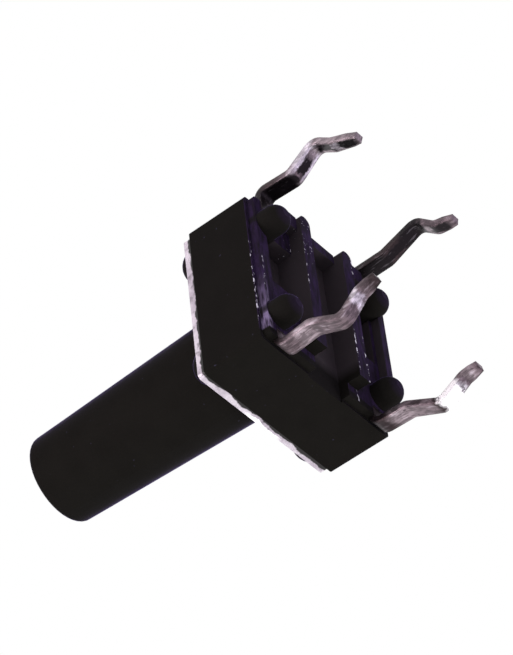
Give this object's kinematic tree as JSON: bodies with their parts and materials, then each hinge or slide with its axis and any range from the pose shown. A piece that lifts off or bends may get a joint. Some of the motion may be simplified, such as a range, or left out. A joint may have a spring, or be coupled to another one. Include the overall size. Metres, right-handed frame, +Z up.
{
  "type": "tactile push-button switch",
  "caption": "Small through-hole tactile switch: square black body, steel cover riveted by posts, long round stem and kinked solder pins.",
  "frame": {"origin": "centre of the footprint of the four pins, on the plane of the circuit board that the base's bosses stand on", "axes": "+Z up the stem away from the board, X across the two rows of pins (6.3 mm where they leave the base), Y along a row (4.5 mm)"},
  "size_m": [0.0079, 0.006, 0.0143],
  "materials": {
    "base_plastic": "black glass-filled moulding",
    "cover_steel": "bright stamped sheet",
    "plunger_plastic": "black satin moulding",
    "dome_steel": "plated spring steel",
    "tinned_brass": "dull tin plating, brown where the brass shows"
  },
  "bodies": {
    "housing": {"base": "base_plastic", "cover_plate": "cover_steel", "contact_dome": "dome_steel", "terminal_centre": "tinned_brass", "terminal_outer": "tinned_brass"},
    "button": {"plunger": "plunger_plastic"}
  },
  "joints": [
    {"name": "plunger_press", "type": "slide", "parent": "housing", "child": "button", "axis": [0, 0, -1], "range_m": [0, 0.00025], "stiffness_N_per_m": 6400, "deforming": ["contact_dome"]}
  ]
}
